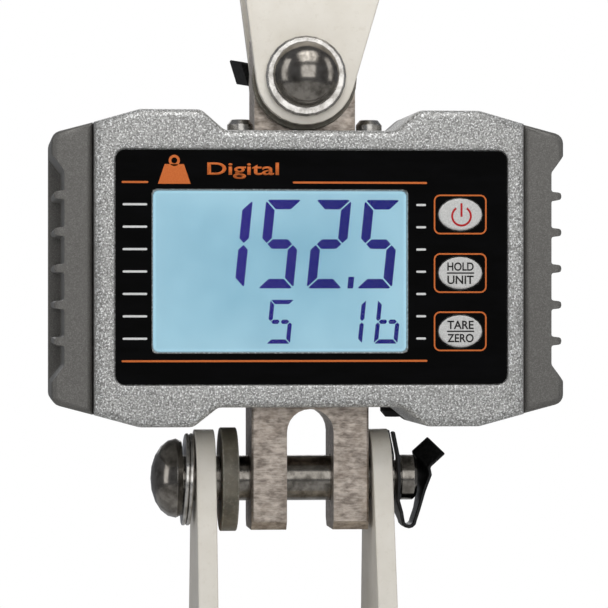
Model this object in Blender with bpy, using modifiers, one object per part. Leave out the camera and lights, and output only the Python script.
"""Digital hanging scale with a load cell between two plate yokes.

A die-cast housing is carried by a load cell that passes through it. The load
cell's upper lug hangs on a pin across the upper yoke, and the lower yoke
hangs on a pin through the load cell's fork. X runs to the right, Y to the
back and Z up. The world origin is the centre of the bolt hole on top of the
upper yoke; every shape is drawn from the centre of the housing.
"""

import math

import bmesh
import bpy
from mathutils import Matrix, Vector

MM = 0.001
GAP = 0.3 * MM
MERGE = 0.00001
FLAT_ANGLE = math.radians(0.05)

# Housing
SEAM_X = 65.2 * MM
FRONT_Y = -29.0 * MM
PARTING_Y = 17.0 * MM
REAR_Y = 28.0 * MM
GASKET = 0.9 * MM
WALL = 3.0 * MM
WAIST_TOP = 41.6 * MM
WAIST_BOTTOM = -41.9 * MM
SHOULDER = 47.8 * MM
CAP_FRONT_Y = -25.0 * MM
CAP_REAR_Y = 27.0 * MM

# Front panel, display and keys
PANEL_SIZE = (119.1 * MM, 71.1 * MM)
PANEL_CENTRE = (0.5 * MM, 0.3 * MM)
PANEL_FLOOR_Y = FRONT_Y + 1.7 * MM
PANEL_FACE_Y = FRONT_Y + 0.6 * MM
LENS_SIZE = (76.9 * MM, 48.8 * MM)
LENS_CENTRE = (-9.1 * MM, -0.9 * MM)
KEY_SIZE = (13.3 * MM, 9.7 * MM)
KEY_X = 45.4 * MM
KEY_HEIGHTS = {"key_power": 16.3 * MM, "key_hold": -1.4 * MM, "key_tare": -19.0 * MM}
KEY_PROUD = 0.6 * MM
BOARD_Y = (-18.6 * MM, -17.0 * MM)

# Load cell
CELL_HALF_DEPTH = 12.0 * MM
LUG_HALF = 15.5 * MM
LUG_HALF_DEPTH = 9.8 * MM
LUG_TOP = 72.1 * MM
BODY_HALF = 24.0 * MM
BODY_TOP = WAIST_TOP - WALL - GAP
BODY_BOTTOM = -34.0 * MM
FORK_X = 1.5 * MM
FORK_HALF = 18.0 * MM
FORK_BOTTOM = -79.9 * MM
SLOT_HALF = 7.15 * MM
SLOT_TOP = -42.9 * MM

# Pins and yokes
TOP_PIN_Z = 58.5 * MM
BOTTOM_PIN_Z = -64.4 * MM
TOP_PIN_RADIUS = 6.0 * MM
BOTTOM_PIN_RADIUS = 7.0 * MM
PIN_HEADS = {"top_pin": (10.0 * MM, 8.8 * MM), "bottom_pin": (12.2 * MM, 9.5 * MM)}
NECK_RATIO = 0.78
GROOVE_HALF = 1.2 * MM
PIN_TAIL = 0.86
WASHER_PLAY = 0.5 * MM
WASHER_DROP = 0.4 * MM
YOKE_END = 15.0 * MM
YOKE_TAPER = math.radians(11.9)
YOKE_BRIDGE = 63.0 * MM
YOKE_BEND = 8.0 * MM
YOKE_PLATE = 6.0 * MM
YOKE_LEAN = math.radians(4.5)
TOP_YAW = math.radians(-2.5)
ARM_LEAN = math.radians(0.7)
BOLT_RADIUS = 6.5 * MM
UPPER_CHEEKS = (-20.6 * MM, 16.9 * MM)
LOWER_ARMS = (-30.45 * MM, 23.6 * MM)

# Battery bay
BAY_CENTRE = (43.5 * MM, 0.0)
BAY_OUTER = (35.0 * MM, 57.0 * MM)
DOOR_SIZE = (33.0 * MM, 57.0 * MM)
CELL_RADIUS = 7.2 * MM
CELL_LENGTH = 50.0 * MM

# Fasteners
TOP_SCREW = (19.8 * MM, -9.2 * MM)
REAR_SCREW = (58.0 * MM, 36.0 * MM)
CAP_SCREW = (-14.0 * MM, 24.0 * MM)
SOCKET = (31.0 * MM, 22.0 * MM)

BRIDGE_TOP = YOKE_BRIDGE + YOKE_PLATE / 2
TOP_PIN = Vector((0.0, 0.0, TOP_PIN_Z))
TOP_TURN = Matrix.Rotation(TOP_YAW, 4, "Z")
YOKE_TURN = TOP_TURN @ Matrix.Rotation(YOKE_LEAN, 4, "Y")
HANG_POINT = TOP_PIN + YOKE_TURN @ Vector((0.0, sum(UPPER_CHEEKS) / 2, BRIDGE_TOP))

COLOURS = {
    "cast_silver": ((0.42, 0.42, 0.41), 0.42, 0.8),
    "cast_grey": ((0.19, 0.185, 0.175), 0.55, 0.6),
    "cream_powder": ((0.80, 0.75, 0.66), 0.42, 0.0),
    "machined_steel": ((0.36, 0.32, 0.29), 0.38, 1.0),
    "polished_steel": ((0.40, 0.40, 0.40), 0.18, 1.0),
    "black_steel": ((0.015, 0.015, 0.016), 0.35, 0.6),
    "nylon": ((0.24, 0.22, 0.18), 0.5, 0.0),
    "black_rubber": ((0.02, 0.02, 0.02), 0.8, 0.0),
    "panel_black": ((0.008, 0.008, 0.009), 0.12, 0.0),
    "clear_lens": ((0.62, 0.78, 0.86), 0.05, 0.0),
    "display_blue": ((0.40, 0.65, 0.75), 0.3, 0.0),
    "key_grey": ((0.68, 0.68, 0.68), 0.4, 0.0),
    "board_green": ((0.02, 0.12, 0.05), 0.5, 0.0),
    "black_plastic": ((0.03, 0.03, 0.03), 0.5, 0.0),
    "cell_wrap": ((0.05, 0.10, 0.30), 0.3, 0.2),
}


# ---------------------------------------------------------------- outlines

def corner(x, z, radius=0.0):
    """A corner of an outline, given in millimetres with its radius."""
    return (x * MM, z * MM, radius * MM)


def rounded(corners, steps=3):
    """Points of a closed outline whose corners (u, v, radius) are arcs."""
    points = []
    for index, (u, v, radius) in enumerate(corners):
        here = Vector((u, v))
        before = (Vector(corners[index - 1][:2]) - here).normalized()
        after = (Vector(corners[(index + 1) % len(corners)][:2]) - here).normalized()
        if radius == 0.0:
            points.append(here)
            continue
        half = before.angle(after) / 2
        centre = here + (before + after).normalized() * radius / math.sin(half)
        start = (here + before * radius / math.tan(half) - centre).normalized()
        end = (here + after * radius / math.tan(half) - centre).normalized()
        for step in range(steps + 1):
            points.append(centre + start.slerp(end, step / steps) * radius)
    return points


def inset(corners, distance):
    """The same anticlockwise outline moved inwards by a wall thickness."""
    moved = []
    for index, (u, v, radius) in enumerate(corners):
        here = Vector((u, v))
        arriving = (here - Vector(corners[index - 1][:2])).normalized()
        leaving = (Vector(corners[(index + 1) % len(corners)][:2]) - here).normalized()
        normal_in = Vector((-arriving.y, arriving.x))
        normal_out = Vector((-leaving.y, leaving.x))
        here += (normal_in + normal_out) * distance / (1 + normal_in.dot(normal_out))
        convex = arriving.cross(leaving) > 0
        radius = max(radius - distance, 0.0) if convex else radius + distance
        moved.append((here.x, here.y, radius))
    return moved


def rectangle(size, centre=(0.0, 0.0), radius=0.0):
    """Anticlockwise corners of a rectangle."""
    half_u, half_v = size[0] / 2, size[1] / 2
    signs = ((-1, -1), (1, -1), (1, 1), (-1, 1))
    return [(centre[0] + a * half_u, centre[1] + b * half_v, radius) for a, b in signs]


def oval(size, centre, steps=20):
    """Points of an ellipse."""
    angles = [2 * math.pi * step / steps for step in range(steps)]
    return [Vector((centre[0] + size[0] / 2 * math.cos(a), centre[1] + size[1] / 2 * math.sin(a)))
            for a in angles]


def housing_corners():
    """Anticlockwise outline of the housing between its side caps."""
    edge = SEAM_X / MM - 0.15
    lower = [corner(-edge, -44.1), corner(-51.4, -47.8, 5), corner(-35.3, -47.8, 3.5),
             corner(-27.8, -41.9, 2.5), corner(27.8, -41.9, 2.5), corner(35.3, -47.8, 3.5),
             corner(51.4, -47.8, 5), corner(edge, -44.1)]
    upper = [corner(edge, 43.9), corner(51.4, 47.8, 5), corner(33.0, 47.8, 3.5),
             corner(25.9, 41.6, 2.5), corner(-25.9, 41.6, 2.5), corner(-33.0, 47.8, 3.5),
             corner(-51.4, 47.8, 5), corner(-edge, 43.9)]
    return lower + upper


def cap_corners():
    """Anticlockwise outline of the right side cap."""
    return [corner(65.35, -44.1), corner(77.8, -40.8, 3.2), corner(77.8, 40.6, 3.2),
            corner(65.35, 43.9)]


def grip_corners():
    """Outline of what is cut from the right side cap, leaving five ribs."""
    corners = [corner(84, -36), corner(84, 36), corner(77.9, 34.6), corner(73.9, 29.2, 1.5)]
    for centre in (22, 11, 0, -11, -22):
        corners += [corner(73.9, centre + 1.4, 0.6), corner(77.0, centre + 1.05, 0.9),
                    corner(77.0, centre - 1.05, 0.9), corner(73.9, centre - 1.4, 0.6)]
    return corners + [corner(73.9, -29.2, 1.5), corner(77.9, -34.6)]


# ---------------------------------------------------------------- shape tools

def clear_scene():
    for obj in list(bpy.data.objects):
        bpy.data.objects.remove(obj, do_unlink=True)


def new_collection(name):
    collection = bpy.data.collections.new(name)
    bpy.context.scene.collection.children.link(collection)
    return collection


def material(name):
    if name in bpy.data.materials:
        return bpy.data.materials[name]
    colour, roughness, metallic = COLOURS[name]
    made = bpy.data.materials.new(name)
    made.use_nodes = True
    shader = made.node_tree.nodes["Principled BSDF"]
    shader.inputs["Base Color"].default_value = (*colour, 1.0)
    shader.inputs["Roughness"].default_value = roughness
    shader.inputs["Metallic"].default_value = metallic
    made.diffuse_color = (*colour, 1.0)
    return made


def mesh_object(name, mesh):
    obj = bpy.data.objects.new(name, mesh)
    mesh.name = name
    PARTS.objects.link(obj)
    return obj


def bmesh_object(name, shape):
    bmesh.ops.recalc_face_normals(shape, faces=shape.faces)
    mesh = bpy.data.meshes.new(name)
    shape.to_mesh(mesh)
    shape.free()
    return mesh_object(name, mesh)


def curve_to_mesh(name, curve):
    """Evaluate a curve, weld its loose caps and return the mesh."""
    obj = bpy.data.objects.new(name, curve)
    PARTS.objects.link(obj)
    bpy.context.view_layer.update()
    evaluated = obj.evaluated_get(bpy.context.evaluated_depsgraph_get())
    mesh = bpy.data.meshes.new_from_object(evaluated)
    bpy.data.objects.remove(obj, do_unlink=True)
    bpy.data.curves.remove(curve)
    shape = bmesh.new()
    shape.from_mesh(mesh)
    bmesh.ops.remove_doubles(shape, verts=shape.verts, dist=MERGE / 10)
    flat = [edge for edge in shape.edges if edge.calc_face_angle(1.0) < FLAT_ANGLE]
    bmesh.ops.dissolve_edges(shape, edges=flat)
    shape.to_mesh(mesh)
    shape.free()
    return mesh


AXIS_TURNS = {
    "X": Matrix(((0, 0, 1, 0), (1, 0, 0, 0), (0, 1, 0, 0), (0, 0, 0, 1))),
    "Y": Matrix(((1, 0, 0, 0), (0, 0, -1, 0), (0, 1, 0, 0), (0, 0, 0, 1))),
    "Z": Matrix.Identity(4),
}


def prism(name, points, start, end, axis="Y"):
    """A flat outline extruded along an axis from start to end."""
    curve = bpy.data.curves.new(name, "CURVE")
    curve.dimensions = "2D"
    curve.fill_mode = "BOTH"
    curve.extrude = (end - start) / 2
    spline = curve.splines.new("POLY")
    spline.points.add(len(points) - 1)
    for knot, (u, v) in zip(spline.points, points):
        knot.co = (u, v, 0.0, 1.0)
    spline.use_cyclic_u = True
    mesh = curve_to_mesh(name, curve)
    mesh.transform(AXIS_TURNS[axis])
    middle = {"X": (1, 0, 0), "Y": (0, 1, 0), "Z": (0, 0, 1)}[axis]
    mesh.transform(Matrix.Translation(Vector(middle) * (start + end) / 2))
    return mesh_object(name, mesh)


def box(name, low, high):
    """A block between two opposite corners."""
    low, high = Vector(low), Vector(high)
    shape = bmesh.new()
    size = Matrix.Diagonal((*(high - low), 1.0))
    bmesh.ops.create_cube(shape, size=1.0, matrix=Matrix.Translation((low + high) / 2) @ size)
    return bmesh_object(name, shape)


def rod(name, radius, start, end, axis, centre, segments=24):
    """A cylinder along an axis; centre gives the other two coordinates."""
    shape = bmesh.new()
    bmesh.ops.create_cone(shape, cap_ends=True, segments=segments, radius1=radius,
                          radius2=radius, depth=end - start)
    middle = (start + end) / 2
    turn = {"X": Matrix.Rotation(math.pi / 2, 4, "Y"), "Y": Matrix.Rotation(math.pi / 2, 4, "X"),
            "Z": Matrix.Identity(4)}[axis]
    place = {"X": (middle, *centre), "Y": (centre[0], middle, centre[1]),
             "Z": (*centre, middle)}[axis]
    bmesh.ops.transform(shape, matrix=Matrix.Translation(place) @ turn, verts=shape.verts)
    return bmesh_object(name, shape)


def turned(name, profile, steps=24, closed=False):
    """A profile (radius, height), top to bottom outside, turned about Z."""
    mesh = bpy.data.meshes.new(name)
    edges = [(index, index + 1) for index in range(len(profile) - 1)]
    if closed:
        edges.append((len(profile) - 1, 0))
    mesh.from_pydata([(radius, 0.0, height) for radius, height in profile], edges, [])
    obj = mesh_object(name, mesh)
    screw = obj.modifiers.new("turn", "SCREW")
    screw.steps = steps
    screw.render_steps = steps
    screw.use_merge_vertices = True
    screw.merge_threshold = MERGE
    return obj


def ring(name, inner, outer, thickness, edge=0.0, steps=24):
    """A washer or disc about Z, centred, with its outer edges broken."""
    half = thickness / 2
    profile = [(outer - edge, half), (outer, half - edge), (outer, edge - half),
               (outer - edge, -half), (inner, -half), (inner, half)]
    if edge == 0.0:
        profile = [(outer, half), (outer, -half), (inner, -half), (inner, half)]
    return turned(name, profile, steps, closed=True)


def point_to_front(obj, centre):
    """Turn a piece made about Z so that its top faces -Y."""
    obj.rotation_euler = (math.pi / 2, 0.0, 0.0)
    obj.location = centre


def point_to_left(obj, centre):
    """Turn a piece made about Z so that its top faces -X."""
    obj.rotation_euler = (0.0, -math.pi / 2, 0.0)
    obj.location = centre


def bevel(obj, width, segments=2, angle=35.0):
    modifier = obj.modifiers.new("edge", "BEVEL")
    modifier.width = width
    modifier.segments = segments
    modifier.limit_method = "ANGLE"
    modifier.angle_limit = math.radians(angle)
    modifier.use_clamp_overlap = True


def round_ends(obj, width, segments, *ends):
    """Round the edges of a prism's end faces at the given places along Y."""
    weights = obj.data.attributes.new("bevel_weight_edge", "FLOAT", "EDGE")
    for edge in obj.data.edges:
        places = [obj.data.vertices[index].co.y for index in edge.vertices]
        on_end = [max(abs(place - end) for place in places) < MERGE for end in ends]
        weights.data[edge.index].value = 1.0 if any(on_end) else 0.0
    modifier = obj.modifiers.new("edge", "BEVEL")
    modifier.width = width
    modifier.segments = segments
    modifier.limit_method = "WEIGHT"


def combine(obj, tool, operation):
    """Cut a tool from a piece, or join it on."""
    modifier = obj.modifiers.new(operation.lower(), "BOOLEAN")
    modifier.operation = operation
    modifier.solver = "EXACT"
    modifier.object = tool
    PARTS.objects.unlink(tool)
    CUTTERS.objects.link(tool)
    tool.parent = obj
    tool.hide_render = True
    tool.display_type = "WIRE"


def cut(obj, *tools):
    for tool in tools:
        combine(obj, tool, "DIFFERENCE")


def join(obj, *tools):
    for tool in tools:
        combine(obj, tool, "UNION")


def dress(obj, name, smooth=30.0):
    """Give a piece its material and smooth its round faces."""
    obj.data.materials.clear()
    obj.data.materials.append(material(name))
    if len(obj.data.polygons):
        obj.data.shade_smooth()
        obj.data.set_sharp_from_angle(angle=math.radians(smooth))
    return obj


# ---------------------------------------------------------------- housing

def front_case():
    """Deep front shell with the panel recess and the load cell's openings."""
    outline = housing_corners()
    shell = prism("front_case", rounded(outline), FRONT_Y, PARTING_Y - GASKET / 2 - GAP)
    round_ends(shell, 2.4 * MM, 3, FRONT_Y)
    cavity = prism("front_cavity", rounded(inset(outline, WALL), 2), PANEL_FLOOR_Y + 2 * MM,
                   PARTING_Y + WALL)
    recess_outline = rounded(rectangle(PANEL_SIZE, PANEL_CENTRE, 3.2 * MM), 4)
    recess = prism("panel_recess", recess_outline, FRONT_Y - WALL, PANEL_FLOOR_Y)
    mouth = prism("panel_mouth", recess_outline, FRONT_Y - 1.5 * MM, FRONT_Y + 0.7 * MM)
    widen_front(mouth, 2.6 * MM)
    window = prism("window_cut", rounded(rectangle(LENS_SIZE, LENS_CENTRE, 1.5 * MM), 2),
                   FRONT_Y - WALL, PANEL_FLOOR_Y + WALL)
    upper = box("lug_opening", (-LUG_HALF - 1.4 * MM, -14 * MM, 0),
                (LUG_HALF + 1.4 * MM, 14 * MM, SHOULDER))
    lower = box("fork_opening", (-BODY_HALF - 0.6 * MM, -14 * MM, -SHOULDER - MM),
                (BODY_HALF + 0.6 * MM, 14 * MM, 0))
    cut(shell, cavity, recess, mouth, window, upper, lower)
    for name, height in KEY_HEIGHTS.items():
        size = [side + 0.7 * MM for side in KEY_SIZE]
        cut(shell, prism(name + "_hole", oval(size, (KEY_X, height)), FRONT_Y - WALL,
                         PANEL_FLOOR_Y + WALL))
    for side in (-1, 1):
        centre = (side * TOP_SCREW[0], TOP_SCREW[1])
        cut(shell, rod("top_hole", 2.3 * MM, BODY_TOP - WALL, SHOULDER, "Z", centre, 10))
        for level in (-1, 1):
            across = (CAP_SCREW[0], level * CAP_SCREW[1])
            span = sorted((side * (SEAM_X - 2 * WALL), side * (SEAM_X + WALL)))
            cut(shell, rod("cap_hole", 1.8 * MM, *span, "X", across, 8))
            place = (side * REAR_SCREW[0], level * REAR_SCREW[1])
            boss = rod("screw_boss", 4 * MM, PANEL_FLOOR_Y + MM, PARTING_Y - 2 * MM, "Y", place, 10)
            join(shell, boss)
            cut(shell, rod("boss_hole", 1.8 * MM, -10 * MM, REAR_Y, "Y", place, 8))
    return dress(shell, "cast_silver")


def widen_front(obj, amount):
    """Flare the front end of a prism, to make a chamfered mouth."""
    centre = Vector((PANEL_CENTRE[0], 0.0, PANEL_CENTRE[1]))
    middle = sum(vertex.co.y for vertex in obj.data.vertices) / len(obj.data.vertices)
    for vertex in obj.data.vertices:
        if vertex.co.y < middle:
            vertex.co.x += math.copysign(amount, vertex.co.x - centre.x)
            vertex.co.z += math.copysign(amount, vertex.co.z - centre.z)


def rear_case():
    """Shallow rear shell that closes the housing and takes the battery door."""
    outline = housing_corners()
    shell = prism("rear_case", rounded(outline), PARTING_Y + GASKET / 2 + GAP, REAR_Y)
    round_ends(shell, 2.4 * MM, 2, REAR_Y)
    cut(shell, prism("rear_cavity", rounded(inset(outline, WALL), 2), PARTING_Y - WALL,
                     REAR_Y - WALL))
    rebate = rectangle([side + 2 * GAP for side in DOOR_SIZE], BAY_CENTRE, 2 * MM)
    mouth = rectangle([side - 4 * MM for side in DOOR_SIZE], BAY_CENTRE, MM)
    cut(shell, prism("door_rebate", rounded(rebate), REAR_Y - 1.9 * MM, REAR_Y + WALL),
        prism("door_mouth", rounded(mouth), REAR_Y - 2 * WALL, REAR_Y + WALL))
    for side in (-1, 1):
        for level in (-1, 1):
            place = (side * REAR_SCREW[0], level * REAR_SCREW[1])
            cut(shell, rod("rear_hole", 1.8 * MM, PARTING_Y, REAR_Y + MM, "Y", place, 8),
                rod("rear_counterbore", 3.4 * MM, REAR_Y - 1.8 * MM, REAR_Y + MM, "Y", place, 14))
    join(shell, box("socket_boss", (SOCKET[0] - 5.5 * MM, SOCKET[1] - 4 * MM, WAIST_BOTTOM),
                    (SOCKET[0] + 5 * MM, SOCKET[1] + 4.6 * MM, WAIST_BOTTOM + WALL)))
    spot = rod("socket_spot", 4.3 * MM, -SHOULDER - MM, WAIST_BOTTOM, "Z", SOCKET, 20)
    cut(shell, spot, rod("socket_hole", 2.6 * MM, -SHOULDER - MM, WAIST_BOTTOM + 2 * WALL, "Z",
                         SOCKET, 16))
    cut(shell, rod("socket_pocket", 3.8 * MM, WAIST_BOTTOM + 3.2 * MM, WAIST_BOTTOM + 12.3 * MM,
                   "Z", SOCKET, 16))
    return dress(shell, "cast_grey")


def case_gasket():
    """Closed rubber loop between the two shells."""
    outline = inset(housing_corners(), 0.6 * MM)
    loop = prism("case_gasket", rounded(outline, 2), PARTING_Y - GASKET / 2,
                 PARTING_Y + GASKET / 2)
    cut(loop, prism("gasket_inside", rounded(inset(outline, 1.8 * MM), 2), PARTING_Y - WALL,
                    PARTING_Y + WALL))
    return dress(loop, "black_rubber")


def side_cap(side):
    """End casting with a grip recess that holds five ribs."""
    name = "side_cap_right" if side > 0 else "side_cap_left"
    cap = prism(name, rounded(cap_corners(), 4), CAP_FRONT_Y, CAP_REAR_Y)
    round_ends(cap, 2.0 * MM, 3, CAP_FRONT_Y, CAP_REAR_Y)
    grip = prism(name + "_grip", rounded(grip_corners(), 2), CAP_FRONT_Y - WALL,
                 CAP_REAR_Y - 9 * MM)
    hollow = box(name + "_hollow", (SEAM_X - WALL, CAP_FRONT_Y + WALL, -18 * MM),
                 (SEAM_X + 6 * MM, CAP_REAR_Y - WALL, 18 * MM))
    cut(cap, grip, hollow)
    for level in (-1, 1):
        cut(cap, rod("cap_screw_hole", 1.8 * MM, SEAM_X - WALL, SEAM_X + 7.2 * MM, "X",
                     (CAP_SCREW[0], level * CAP_SCREW[1]), 8))
    if side < 0:
        for piece in [cap] + [modifier.object for modifier in cap.modifiers
                              if modifier.type == "BOOLEAN"]:
            piece.data.transform(Matrix.Diagonal((-1.0, 1.0, 1.0, 1.0)))
            piece.data.flip_normals()
    return dress(cap, "cast_grey")


def cell_seal(name, inner, outer, low, high, across=0.0):
    """Rubber frame that closes a load cell opening; across is its hole's centre."""
    seal = box(name, (-outer[0], -outer[1], low), (outer[0], outer[1], high))
    cut(seal, box(name + "_hole", (across - inner[0], -inner[1], low - MM),
                  (across + inner[0], inner[1], high + MM)))
    return dress(seal, "black_rubber")


# ---------------------------------------------------------------- front panel

def panel_overlay():
    """Thin printed panel with openings for the lens and the three keys."""
    size = [side - 2 * GAP for side in PANEL_SIZE]
    sheet = prism("panel_overlay", rounded(rectangle(size, PANEL_CENTRE, 2.9 * MM), 4),
                  PANEL_FACE_Y, PANEL_FLOOR_Y - GAP)
    lens_size = [side + 2 * GAP for side in LENS_SIZE]
    cut(sheet, prism("overlay_window", rounded(rectangle(lens_size, LENS_CENTRE, 1.4 * MM), 2),
                     FRONT_Y - WALL, PANEL_FLOOR_Y + WALL))
    for name, height in KEY_HEIGHTS.items():
        hole = [side + 0.7 * MM for side in KEY_SIZE]
        cut(sheet, prism(name + "_window", oval(hole, (KEY_X, height)), FRONT_Y - WALL,
                         PANEL_FLOOR_Y + WALL))
    return dress(sheet, "panel_black")


def lcd_lens():
    lens = prism("lcd_lens", rounded(rectangle(LENS_SIZE, LENS_CENTRE, 1.2 * MM), 2),
                 PANEL_FACE_Y, PANEL_FLOOR_Y - GAP)
    return dress(lens, "clear_lens")


def lcd_glass():
    """Display glass that fills the window behind the lens."""
    size = [side - 2 * GAP for side in LENS_SIZE]
    glass = prism("lcd_glass", rounded(rectangle(size, LENS_CENTRE, 1.3 * MM), 2), PANEL_FLOOR_Y,
                  PANEL_FLOOR_Y + 2.6 * MM)
    return dress(glass, "display_blue")


def backlight():
    left, low = LENS_CENTRE[0] - 41 * MM, LENS_CENTRE[1] - 27 * MM
    right, high = LENS_CENTRE[0] + 41 * MM, LENS_CENTRE[1] + 27 * MM
    start = PANEL_FLOOR_Y + 2.9 * MM
    return dress(box("backlight", (left, start, low), (right, start + 3 * MM, high)), "key_grey")


def main_board():
    """Circuit board with a switch block behind each key and two connectors."""
    board = box("main_board", (-52 * MM, BOARD_Y[0], -31 * MM), (52 * MM, BOARD_Y[1], 31 * MM))
    for name, height in KEY_HEIGHTS.items():
        join(board, box(name + "_switch", (KEY_X - 3 * MM, BOARD_Y[0] - 1.6 * MM, height - 3 * MM),
                        (KEY_X + 3 * MM, BOARD_Y[0] + 0.5 * MM, height + 3 * MM)))
    for height in (-16 * MM, 14 * MM):
        join(board, box("connector", (-42 * MM, BOARD_Y[1] - 0.5 * MM, height - 4 * MM),
                        (-32 * MM, BOARD_Y[1] + 5 * MM, height + 4 * MM)))
    return dress(board, "board_green")


def key(name):
    """Oval key cap with a flange behind the wall and a stem to its switch."""
    centre = (KEY_X, KEY_HEIGHTS[name])
    wall_back = PANEL_FLOOR_Y + 2 * MM
    cap = prism(name, oval(KEY_SIZE, centre), PANEL_FACE_Y - KEY_PROUD, wall_back + 1.3 * MM)
    round_ends(cap, 0.35 * MM, 1, PANEL_FACE_Y - KEY_PROUD)
    flange = [side + 2.4 * MM for side in KEY_SIZE]
    join(cap, prism(name + "_flange", oval(flange, centre, 12), wall_back + GAP,
                    wall_back + 1.1 * MM))
    join(cap, rod(name + "_stem", 2 * MM, wall_back + 0.8 * MM, BOARD_Y[0] - 2.6 * MM, "Y", centre,
                  8))
    return dress(cap, "key_grey")


# ---------------------------------------------------------------- load cell and pins

def load_cell():
    """One steel block: upper lug, flexure in the housing, lower fork."""
    sides = {}
    for side in (1, -1):
        lug, body = side * LUG_HALF / MM, side * BODY_HALF / MM
        fork = (FORK_X + side * FORK_HALF) / MM
        sides[side] = [
            corner(fork, FORK_BOTTOM / MM), corner(fork, BODY_BOTTOM / MM - 2),
            corner(body, BODY_BOTTOM / MM),
            corner(body, BODY_TOP / MM), corner(lug, BODY_TOP / MM),
            corner(lug, LUG_TOP / MM - 1), corner(lug - side, LUG_TOP / MM)]
    outline = sides[1] + sides[-1][::-1]
    through = (-2 * CELL_HALF_DEPTH, 2 * CELL_HALF_DEPTH)
    block = prism("load_cell", rounded(outline), -CELL_HALF_DEPTH, CELL_HALF_DEPTH)
    round_ends(block, 0.6 * MM, 1, -CELL_HALF_DEPTH, CELL_HALF_DEPTH)
    slot = prism("fork_slot", rounded(fork_slot(), 6), *through)
    pocket = prism("flexure_cut", rounded(flexure_cut(), 4), *through)
    top_bore = rod("lug_bore", TOP_PIN_RADIUS + GAP, *through, "Y", (0, 0), 28)
    top_bore.data.transform(Matrix.Translation(TOP_PIN) @ TOP_TURN)
    low_bore = rod("fork_bore", BOTTOM_PIN_RADIUS + GAP, -30 * MM, 30 * MM, "X",
                   (0, BOTTOM_PIN_Z), 28)
    cut(block, slot, pocket, low_bore)
    for side in (-1, 1):
        near, far = sorted((side * LUG_HALF_DEPTH, side * 2 * CELL_HALF_DEPTH))
        cut(block, box("lug_thinning", (-BODY_HALF, near, BODY_TOP),
                       (BODY_HALF, far, LUG_TOP + MM)),
            prism("fork_chamfer", fork_chamfer(side), -BODY_HALF, BODY_HALF, "X"),
            rod("tapped_hole", 2.3 * MM, BODY_TOP - 12 * MM, BODY_TOP + MM, "Z",
                (side * TOP_SCREW[0], TOP_SCREW[1]), 10))
    cut(block, top_bore)
    return dress(block, "machined_steel")


def fork_chamfer(side):
    """Wedge (depth, height) taken off the fork's lower front or back edge."""
    run, rise, past = 2.6 * MM, 2.7 * MM, 1.0 * MM
    outer, low = CELL_HALF_DEPTH + past, FORK_BOTTOM - past
    wedge = [(outer - past - run - past * run / rise, low), (outer, low),
             (outer, FORK_BOTTOM + rise + past * rise / run)]
    return [Vector((side * depth, height)) for depth, height in wedge]


def fork_slot():
    """Outline of the slot between the fork's prongs, with a round top."""
    left, right = (FORK_X - SLOT_HALF) / MM, (FORK_X + SLOT_HALF) / MM
    below, top = FORK_BOTTOM / MM - 10, SLOT_TOP / MM
    return [corner(left, below), corner(right, below), corner(right, top, 7.1),
            corner(left, top, 7.1)]


def flexure_cut():
    """Outline of the two joined holes that let the load cell's body bend."""
    return [corner(-8, 7, 5), corner(-8, 21, 5), corner(8, 21, 5), corner(8, 7, 5),
            corner(2.5, 7), corner(2.5, -7), corner(8, -7, 5), corner(8, -21, 5),
            corner(-8, -21, 5), corner(-8, -7, 5), corner(-2.5, -7), corner(-2.5, 7)]


def clevis_pin(name, radius, groove_at):
    """Button-headed pin with a clip groove, made about Z with the head on top."""
    head_radius, head_height = PIN_HEADS[name]
    dome = []
    for step in range(6):
        angle = math.radians(90 * step / 5)
        dome.append((head_radius * math.sin(angle), head_height * (0.18 + 0.82 * math.cos(angle))))
    neck, end = radius * NECK_RATIO, groove_at + radius * PIN_TAIL
    profile = [(0.0, head_height), *dome[1:], (head_radius - 0.8 * MM, 0.0), (radius, 0.0),
               (radius, GROOVE_HALF - groove_at), (neck, GROOVE_HALF - groove_at),
               (neck, -GROOVE_HALF - groove_at), (radius, -GROOVE_HALF - groove_at),
               (radius, MM - end), (radius - MM, -end), (0.0, -end)]
    return dress(turned(name, profile, 24), "polished_steel")


def clip_rows(reach, turn):
    """Folded clip for the larger pin: rows of (along, out, twist, half width).

    The slotted base lies in the groove and bows back to the washer. A loop
    joins it to the leg, which passes over the pin's end to a twisted tab.
    """
    rows = [(along, out, 0.0, 9.0) for along, out in
            ((14.4, -1.9), (7.0, -0.4), (0.0, 0.0), (-7.0, -0.3), (-10.5, 0.7))]
    for step in range(7):
        angle = math.pi * step / 6
        rows.append((-13.2 - 1.9 * math.sin(angle), 3.5 - 1.9 * math.cos(angle), 0.0, 5.0))
    for along, out, twist in ((-9.9, 6.5, 0), (-4.0, 7.9, 4), (0.6, 8.9, 16),
                              (reach - 6.9, 7.9, 40), (reach - 2.6, 12.65, 40)):
        rows.append((along, out, turn * math.radians(twist), 5.0))
    return rows


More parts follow.
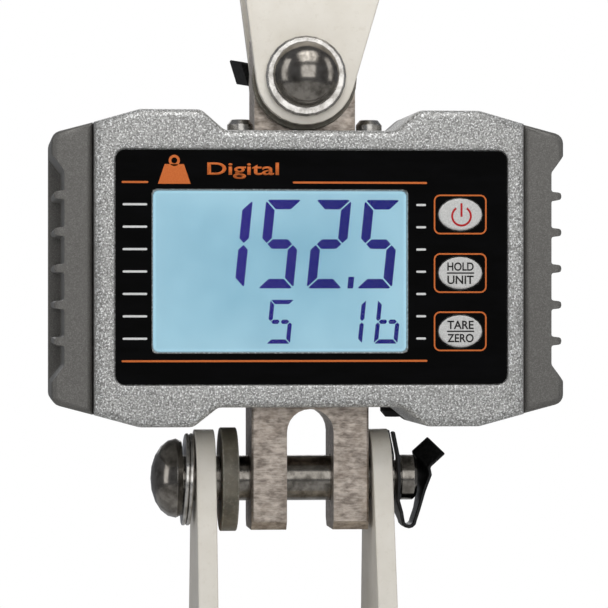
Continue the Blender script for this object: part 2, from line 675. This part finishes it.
def clip(name, pin_radius, reach, turn):
    """Spring clip about its pin: Y runs along the strip and Z out of the pin's end."""
    size = pin_radius / BOTTOM_PIN_RADIUS
    rows = clip_rows(reach / size, turn)
    shape = bmesh.new()
    lines = []
    for index, (along, out, twist, half) in enumerate(rows):
        start = min(index, len(rows) - 2)
        run = (Vector(rows[start + 1][:2]) - Vector(rows[start][:2])).normalized()
        level, rise = half * math.cos(twist), half * math.sin(twist)
        lines.append([shape.verts.new(Vector((side * level, along + side * rise * run.y,
                                              out - side * rise * run.x)) * size * MM)
                      for side in (-1, 1)])
    for first, second in zip(lines, lines[1:]):
        shape.faces.new((first[0], first[1], second[1], second[0]))
    strip = bmesh_object(name, shape)
    solid = strip.modifiers.new("thickness", "SOLIDIFY")
    solid.thickness = 1.1 * size * MM
    solid.offset = 0.0
    solid.use_even_offset = True
    bevel(strip, 0.3 * MM, 1, 50)
    neck = pin_radius * NECK_RATIO + GAP
    depth = (-4.5 * MM, 2.0 * MM)
    opening = [Vector(point) for point in ((-neck, 20 * MM), (-neck, 0.0), (neck, 0.0),
                                           (neck, 20 * MM))]
    cut(strip, rod(name + "_neck", neck, *depth, "Z", (0, 0), 20),
        prism(name + "_slot", opening, *depth, "Z"))
    return dress(strip, "black_steel")


# ---------------------------------------------------------------- yokes

def half_width(height):
    """Half the width of a yoke plate at a distance from its pin."""
    tangent = -YOKE_END * math.sin(YOKE_TAPER)
    if height < tangent:
        return math.sqrt(max(YOKE_END ** 2 - height ** 2, 0.0))
    height = min(height, YOKE_BRIDGE - YOKE_BEND)
    return (YOKE_END + height * math.sin(YOKE_TAPER)) / math.cos(YOKE_TAPER)


def yoke_path(first, second, lean):
    """Centre line of the folded plate: (across, away from the pin)."""
    quarter = math.pi / 2 - YOKE_TAPER
    ends = [-YOKE_END * math.cos(quarter * step / 6) for step in range(7)]
    spread = second + YOKE_BRIDGE * math.tan(lean)
    bend = rounded([(first, -YOKE_END, 0), (first, YOKE_BRIDGE, YOKE_BEND),
                    (spread, YOKE_BRIDGE, YOKE_BEND), (second, -YOKE_END, 0)], 6)[1:-1]
    left = [(first, height) for height in ends]
    right = [(second + height * math.tan(lean), height) for height in reversed(ends)]
    return left + [tuple(point) for point in bend] + right


def yoke(name, path, upward):
    """Tapered plate with round ends, folded into a bridge over its two arms."""
    shape = bmesh.new()
    rows = []
    for across, height in path:
        half = half_width(height)
        sides = (0.0,) if half < MERGE else (-half, half)
        if upward:
            rows.append([shape.verts.new((side, across, height)) for side in sides])
        else:
            rows.append([shape.verts.new((across, side, -height)) for side in sides])
    for first, second in zip(rows, rows[1:]):
        shape.faces.new([*first, *reversed(second)])
    plate = bmesh_object(name, shape)
    solid = plate.modifiers.new("thickness", "SOLIDIFY")
    solid.thickness = YOKE_PLATE
    solid.offset = 0.0
    solid.use_even_offset = True
    bevel(plate, 1.9 * MM, 3, 50)
    pin_radius = TOP_PIN_RADIUS if upward else BOTTOM_PIN_RADIUS
    middle = (path[0][0] + path[-1][0]) / 2
    reach = (-60 * MM, 60 * MM)
    if upward:
        bore = rod(name + "_pin_bore", pin_radius + GAP, *reach, "Y", (0, 0), 28)
        bolt = rod(name + "_bolt_hole", BOLT_RADIUS, 40 * MM, 80 * MM, "Z", (0, middle), 28)
    else:
        bore = rod(name + "_pin_bore", pin_radius + 1.5 * GAP, *reach, "X", (0, 0), 28)
        bolt = rod(name + "_bolt_hole", BOLT_RADIUS, -80 * MM, -40 * MM, "Z", (middle, 0), 28)
    cut(plate, bore, bolt)
    return dress(plate, "cream_powder", 40)


# ---------------------------------------------------------------- battery and socket

def battery_tray():
    """Open tray for four cells behind the battery door."""
    outer = [side / 2 for side in BAY_OUTER]
    rim = REAR_Y - WALL - GAP
    low = (BAY_CENTRE[0] - outer[0], -7.6 * MM, -outer[1])
    high = (BAY_CENTRE[0] + outer[0], rim, outer[1])
    tray = box("battery_tray", low, high)
    edge = 1.5 * MM
    cut(tray, box("tray_inside", [value + edge for value in low],
                  (high[0] - edge, rim + WALL, high[2] - edge)))
    return dress(tray, "black_plastic")


def battery_cell(index):
    """Round cell standing upright, with its contact nub."""
    column, row = index % 2, index // 2
    up = 1 if column == 0 else -1
    half = CELL_LENGTH / 2
    profile = [(0.0, half), (2.7 * MM, half), (2.7 * MM, half - 1.2 * MM),
               (CELL_RADIUS, half - 1.2 * MM), (CELL_RADIUS, -half), (0.0, -half)]
    cell = turned(f"battery_cell_{index + 1}", profile, 14)
    cell.location = (BAY_CENTRE[0] + (column - 0.5) * 15.2 * MM, 1.6 * MM + row * 14.8 * MM, 0.0)
    cell.rotation_euler = (0.0 if up > 0 else math.pi, 0.0, 0.0)
    return dress(cell, "cell_wrap")


def battery_door():
    """Door that lies in the rear case's rebate, with a finger groove."""
    door = prism("battery_door", rounded(rectangle(DOOR_SIZE, BAY_CENTRE, 1.7 * MM), 2),
                 REAR_Y - 1.6 * MM, REAR_Y + 0.3 * MM)
    round_ends(door, 0.3 * MM, 1, REAR_Y + 0.3 * MM)
    groove_at = DOOR_SIZE[1] / 2 - 8 * MM
    for step in range(3):
        height = groove_at - step * 2.6 * MM
        cut(door, box("door_groove", (BAY_CENTRE[0] - 7 * MM, REAR_Y - 0.4 * MM, height - 0.6 * MM),
                      (BAY_CENTRE[0] + 7 * MM, REAR_Y + MM, height + 0.6 * MM)))
    return dress(door, "black_plastic")


def charging_socket():
    """Round socket in the floor of the rear case."""
    profile = [(1.6 * MM, 12 * MM), (3.5 * MM, 12 * MM), (3.5 * MM, 3.4 * MM), (2.3 * MM, 3.4 * MM),
               (2.3 * MM, 0.4 * MM), (1.6 * MM, 0.4 * MM)]
    socket = turned("charging_socket", profile, 12, closed=True)
    socket.location = (*SOCKET, WAIST_BOTTOM)
    return dress(socket, "black_plastic")


def socket_plug():
    """Rubber plug that keeps dirt out of the charging socket."""
    profile = [(0.0, 6 * MM), (1.2 * MM, 6 * MM), (1.2 * MM, -GAP), (4.0 * MM, -GAP),
               (4.0 * MM, -2.6 * MM), (2.4 * MM, -4.5 * MM), (0.0, -4.5 * MM)]
    plug = turned("socket_plug", profile, 14)
    plug.location = (*SOCKET, WAIST_BOTTOM)
    return dress(plug, "black_rubber")


def lead(name, route, radius):
    """Insulated lead along a smooth curve through its route."""
    points = [Vector(point) * MM for point in route]
    smooth = []
    padded = [points[0] * 2 - points[1], *points, points[-1] * 2 - points[-2]]
    for index in range(1, len(padded) - 2):
        before, here, there, beyond = padded[index - 1:index + 3]
        for step in range(3):
            t = step / 3
            smooth.append(0.5 * (2 * here + (there - before) * t
                                 + (2 * before - 5 * here + 4 * there - beyond) * t ** 2
                                 + (3 * here - before - 3 * there + beyond) * t ** 3))
    smooth.append(points[-1])
    curve = bpy.data.curves.new(name, "CURVE")
    curve.dimensions = "3D"
    curve.bevel_depth = radius
    curve.bevel_resolution = 2
    curve.use_fill_caps = True
    spline = curve.splines.new("POLY")
    spline.points.add(len(smooth) - 1)
    for knot, place in zip(spline.points, smooth):
        knot.co = (*place, 1.0)
    return dress(mesh_object(name, curve_to_mesh(name, curve)), "black_plastic")


# ---------------------------------------------------------------- screws

def pan_screw(name, head_radius, head_height, radius, length):
    """Socket pan-head screw made about Z, head on top."""
    profile = [(0.0, head_height), (head_radius * 0.7, head_height),
               (head_radius, head_height * 0.6), (head_radius, 0.0), (radius, 0.0),
               (radius, -length), (0.0, -length)]
    screw = turned(name, profile, 12)
    cut(screw, rod(name + "_recess", head_radius * 0.42, head_height * 0.45, head_height + MM, "Z",
                   (0, 0), 6))
    return dress(screw, "polished_steel")


def top_screw(side):
    name = "top_screw_right" if side > 0 else "top_screw_left"
    screw = pan_screw(name, 4 * MM, 3.7 * MM, 2 * MM, 13 * MM)
    screw.location = (side * TOP_SCREW[0], TOP_SCREW[1], WAIST_TOP + GAP)
    return screw


def rear_screw(side, level):
    row = "upper" if level > 0 else "lower"
    column = "right" if side > 0 else "left"
    screw = pan_screw(f"rear_screw_{row}_{column}", 2.9 * MM, 1.8 * MM, 1.5 * MM, 30 * MM)
    screw.rotation_euler = (-math.pi / 2, 0.0, 0.0)
    screw.location = (side * REAR_SCREW[0], REAR_Y - 1.5 * MM, level * REAR_SCREW[1])
    return screw


def cap_screw(side, level):
    row = "upper" if level > 0 else "lower"
    column = "right" if side > 0 else "left"
    screw = pan_screw(f"cap_screw_{row}_{column}", 2.8 * MM, 1.8 * MM, 1.5 * MM, 9 * MM)
    screw.rotation_euler = (0.0, -side * math.pi / 2, 0.0)
    screw.location = (side * (SEAM_X - 0.15 * MM - WALL - GAP), CAP_SCREW[0], level * CAP_SCREW[1])
    return screw


# ---------------------------------------------------------------- pin stacks

CLIP_TO_BACK = Matrix(((0, -1, 0, 0), (0, 0, 1, 0), (-1, 0, 0, 0), (0, 0, 0, 1)))
CLIP_TO_RIGHT = Matrix(((0, 0, 1, 0), (1, 0, 0, 0), (0, 1, 0, 0), (0, 0, 0, 1)))
WASHER_TILT = math.radians(2.4)
TOP_CLIP_TILT = math.radians(13.6)


def washer(name, pin_radius, outer, thickness, edge=0.3 * MM, steps=24):
    """Loose washer or disc with play round its pin."""
    return ring(name, pin_radius + WASHER_PLAY, outer, thickness, edge, steps)


def top_pin_parts():
    """Pin, washers, spacers and clip on the upper pin, front to back."""
    cheek_front = UPPER_CHEEKS[0] - YOKE_PLATE / 2
    cheek_inner = UPPER_CHEEKS[0] + YOKE_PLATE / 2
    cheek_back = UPPER_CHEEKS[1] + YOKE_PLATE / 2
    head_y, groove_y = cheek_front - 2.6 * MM, cheek_back + 4.9 * MM
    pin = clevis_pin("top_pin", TOP_PIN_RADIUS, groove_y - head_y)
    point_to_front(pin, (0, head_y, TOP_PIN_Z))
    front = washer("top_washer", TOP_PIN_RADIUS, 12.2 * MM, 2 * MM, 0.7 * MM)
    spacer = washer("top_spacer", TOP_PIN_RADIUS, 16 * MM, 4.7 * MM, 0.3 * MM, 32)
    rear_spacer = washer("top_rear_spacer", TOP_PIN_RADIUS, 16 * MM, 2.7 * MM, 0.3 * MM, 32)
    rear = washer("top_rear_washer", TOP_PIN_RADIUS, 12 * MM, 1.6 * MM)
    stack = {front: cheek_front - 1.3 * MM, spacer: (cheek_inner - LUG_HALF_DEPTH) / 2,
             rear_spacer: UPPER_CHEEKS[1] - YOKE_PLATE / 2 - 1.65 * MM,
             rear: cheek_back + 1.1 * MM}
    for piece, along in stack.items():
        point_to_front(piece, (0, along, TOP_PIN_Z - WASHER_DROP))
    for piece in (front, rear):
        dress(piece, "polished_steel")
    for piece in (spacer, rear_spacer):
        dress(piece, "nylon")
    spring = clip("top_clip", TOP_PIN_RADIUS, 22.8, -1)
    spring.matrix_basis = (Matrix.Translation((0, groove_y, TOP_PIN_Z))
                           @ Matrix.Rotation(TOP_CLIP_TILT, 4, "Y") @ CLIP_TO_BACK)
    parts = [pin, spring, *stack]
    turn = Matrix.Translation(TOP_PIN) @ TOP_TURN @ Matrix.Translation(-TOP_PIN)
    for piece in parts:
        piece.matrix_basis = turn @ piece.matrix_basis
    return parts


def bottom_pin_parts():
    """Pin, washers, spacer and clip on the lower pin, left to right."""
    arm_left = LOWER_ARMS[0] - YOKE_PLATE / 2
    head_x, groove_x = arm_left - 3.9 * MM, LOWER_ARMS[1] + YOKE_PLATE / 2 + 2.7 * MM
    pin = clevis_pin("bottom_pin", BOTTOM_PIN_RADIUS, groove_x - head_x)
    point_to_left(pin, (head_x, 0, BOTTOM_PIN_Z))
    inner = washer("bottom_washer_inner", BOTTOM_PIN_RADIUS, 14.2 * MM, 1.2 * MM)
    outer = washer("bottom_washer_outer", BOTTOM_PIN_RADIUS, 14.2 * MM, 1.2 * MM)
    spacer = washer("bottom_spacer", BOTTOM_PIN_RADIUS, 16 * MM, 5 * MM, 0.2 * MM, 32)
    stack = {inner: arm_left - 1.4 * MM, outer: arm_left - 2.75 * MM, spacer: -23.0 * MM}
    for piece, along in stack.items():
        point_to_left(piece, (along, 0, BOTTOM_PIN_Z - WASHER_DROP))
    for piece in (inner, outer):
        piece.rotation_euler.y += WASHER_TILT
        dress(piece, "polished_steel")
    dress(spacer, "nylon")
    spring = clip("bottom_clip", BOTTOM_PIN_RADIUS, 12.4, 1)
    spring.matrix_basis = Matrix.Translation((groove_x, 0, BOTTOM_PIN_Z)) @ CLIP_TO_RIGHT
    return [pin, spring, *stack]


# ---------------------------------------------------------------- assembly

def add_pivot(name, place, parent=None, parent_place=Vector()):
    """Empty on a joint's axis, placed in its parent's space."""
    pivot = bpy.data.objects.new(name, None)
    PARTS.objects.link(pivot)
    pivot.empty_display_size = 10 * MM
    pivot.location = Vector(place) - parent_place
    pivot.parent = parent
    return pivot


def attach(pieces, pivot, place):
    """Hang pieces, drawn from the housing's centre, on a joint's empty."""
    for piece in pieces:
        piece.parent = pivot
        piece.matrix_basis = Matrix.Translation(-Vector(place)) @ piece.matrix_basis


def build():
    top = TOP_PIN
    bottom = Vector((0, 0, BOTTOM_PIN_Z))
    origin = add_pivot("hang_point", -HANG_POINT)
    swing = add_pivot("top_swing_axis", top, origin)
    top_spin = add_pivot("top_pin_axis", top, origin)
    lower_swing = add_pivot("lower_swing_axis", bottom, swing, top)
    bottom_spin = add_pivot("bottom_pin_axis", bottom, swing, top)

    upper = yoke("upper_yoke", yoke_path(*UPPER_CHEEKS, 0.0), True)
    upper.matrix_basis = Matrix.Translation(top) @ YOKE_TURN
    attach([upper], origin, (0, 0, 0))

    lower = yoke("lower_yoke", yoke_path(*LOWER_ARMS, ARM_LEAN), False)
    lower.location = bottom
    attach([lower], lower_swing, bottom)
    attach(top_pin_parts(), top_spin, top)
    attach(bottom_pin_parts(), bottom_spin, bottom)

    lug = (LUG_HALF + GAP, LUG_HALF_DEPTH + GAP)
    fork = (FORK_HALF + GAP, CELL_HALF_DEPTH + GAP)
    scale_body = [
        front_case(), rear_case(), case_gasket(), side_cap(-1), side_cap(1), load_cell(),
        cell_seal("upper_seal", lug, (lug[0] + 0.8 * MM, 13.7 * MM), WAIST_TOP - WALL, WAIST_TOP),
        cell_seal("lower_seal", fork, (BODY_HALF + GAP, 13.7 * MM), WAIST_BOTTOM,
                  WAIST_BOTTOM + WALL, FORK_X),
        panel_overlay(), lcd_lens(), lcd_glass(), backlight(), main_board(), battery_tray(),
        charging_socket(),
        lead("sensor_lead", [(-24.4, 8, 0), (-31, 8, 2), (-37, 3, 8), (-38, -5, 13),
                             (-37, -11.4, 14)], 1.3 * MM),
        lead("battery_lead", [(31, -9.2, 20), (27, -11.6, 25), (21, -14.4, 28), (0, -14.5, 32),
                              (-24, -14.5, 29), (-34, -14.5, 24), (-36, -14.5, 18.4)], 0.9 * MM),
    ]
    scale_body += [battery_cell(index) for index in range(4)]
    scale_body += [top_screw(side) for side in (-1, 1)]
    for side in (-1, 1):
        scale_body += [rear_screw(side, level) for level in (-1, 1)]
        scale_body += [cap_screw(side, level) for level in (-1, 1)]
    attach(scale_body, swing, top)

    for name, height in KEY_HEIGHTS.items():
        place = Vector((KEY_X, PANEL_FACE_Y, height))
        attach([key(name)], add_pivot(name + "_axis", place, swing, top), place)
    door_place = Vector((BAY_CENTRE[0], REAR_Y, BAY_CENTRE[1]))
    attach([battery_door()], add_pivot("battery_door_axis", door_place, swing, top), door_place)
    plug_place = Vector((SOCKET[0], SOCKET[1], WAIST_BOTTOM))
    attach([socket_plug()], add_pivot("socket_plug_axis", plug_place, swing, top), plug_place)


clear_scene()
PARTS = new_collection("hanging_scale")
CUTTERS = new_collection("cutters")
build()
